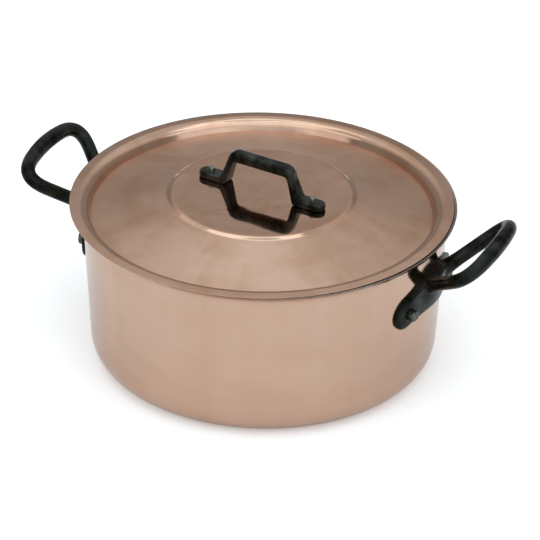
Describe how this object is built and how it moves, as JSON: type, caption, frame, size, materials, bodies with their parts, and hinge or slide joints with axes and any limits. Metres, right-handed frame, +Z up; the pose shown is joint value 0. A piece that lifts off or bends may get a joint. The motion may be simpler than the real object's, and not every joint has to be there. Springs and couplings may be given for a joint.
{
  "type": "lidded casserole pot",
  "caption": "Low, wide copper casserole with a tapered wall, flared lip, riveted cast-iron loop handles, and a recessed domed lid with a bow handle.",
  "frame": {"origin": "centre of the pot's flat base, on the surface that it stands on", "axes": "+Z up, the side handles along X with the one at the right of the picture at +X, -Y towards the viewer's side"},
  "size_m": [0.3356, 0.2556, 0.1437],
  "materials": {
    "copper": "polished copper",
    "lining": "satin stainless steel lining",
    "cast_iron": "blackened, fine sand-cast skin",
    "rivet_steel": "bare hammered steel"
  },
  "bodies": {
    "pot": {"pot_shell": "copper", "pot_lining": "lining", "side_handle_right": "cast_iron", "side_handle_left": "cast_iron", "side_rivet_right_front": "rivet_steel", "side_rivet_right_rear": "rivet_steel", "side_rivet_left_front": "rivet_steel", "side_rivet_left_rear": "rivet_steel"},
    "lid": {"lid_shell": "copper", "lid_lining": "lining", "lid_handle": "cast_iron", "lid_rivet_left": "rivet_steel", "lid_rivet_right": "rivet_steel"}
  },
  "joints": [
    {"name": "lid_lift", "type": "slide", "parent": "pot", "child": "lid", "axis": [0, 0, 1], "range_m": [0, 0.15]}
  ]
}
